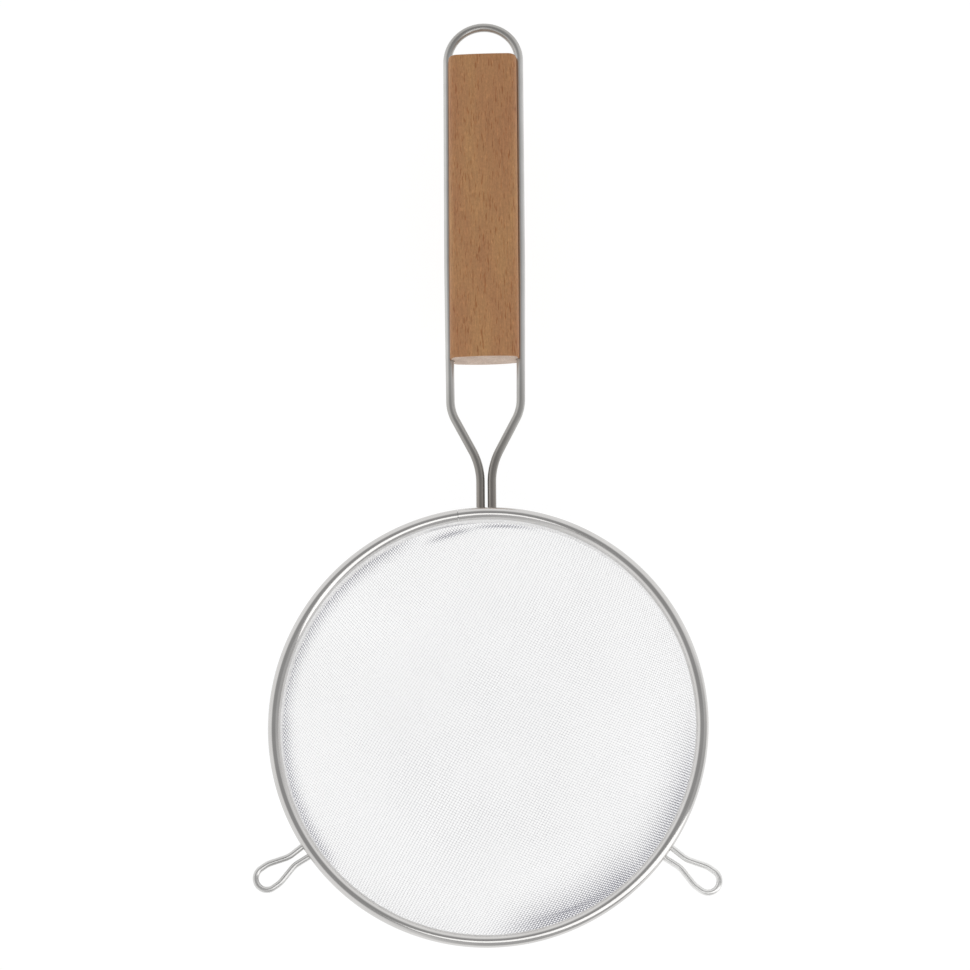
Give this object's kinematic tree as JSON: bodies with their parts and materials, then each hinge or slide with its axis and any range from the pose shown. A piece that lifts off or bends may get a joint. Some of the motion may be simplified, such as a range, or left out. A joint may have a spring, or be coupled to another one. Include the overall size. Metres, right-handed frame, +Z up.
{
  "type": "kitchen strainer",
  "caption": "Round fine-mesh kitchen strainer: pressed wire cloth bowl in a rolled steel rim, beech grip in a bent wire handle with hanging loop, and wire rests.",
  "frame": {"origin": "middle of the bowl's flat foot, on its underside", "axes": "+Z up out of the bowl's mouth, +Y from the bowl along the handle, +X to the right"},
  "size_m": [0.2117, 0.436, 0.0566],
  "materials": {
    "rim_steel": "polished",
    "cloth_steel": "bright woven wire",
    "wire_steel": "satin drawn wire",
    "beech": "oiled, fine straight grain"
  },
  "bodies": {
    "root": {"rim_hoop": "rim_steel", "mesh_bowl": "cloth_steel", "handle_wire": "wire_steel", "ear_left": "wire_steel", "ear_right": "wire_steel", "grip": "beech"}
  },
  "joints": []
}
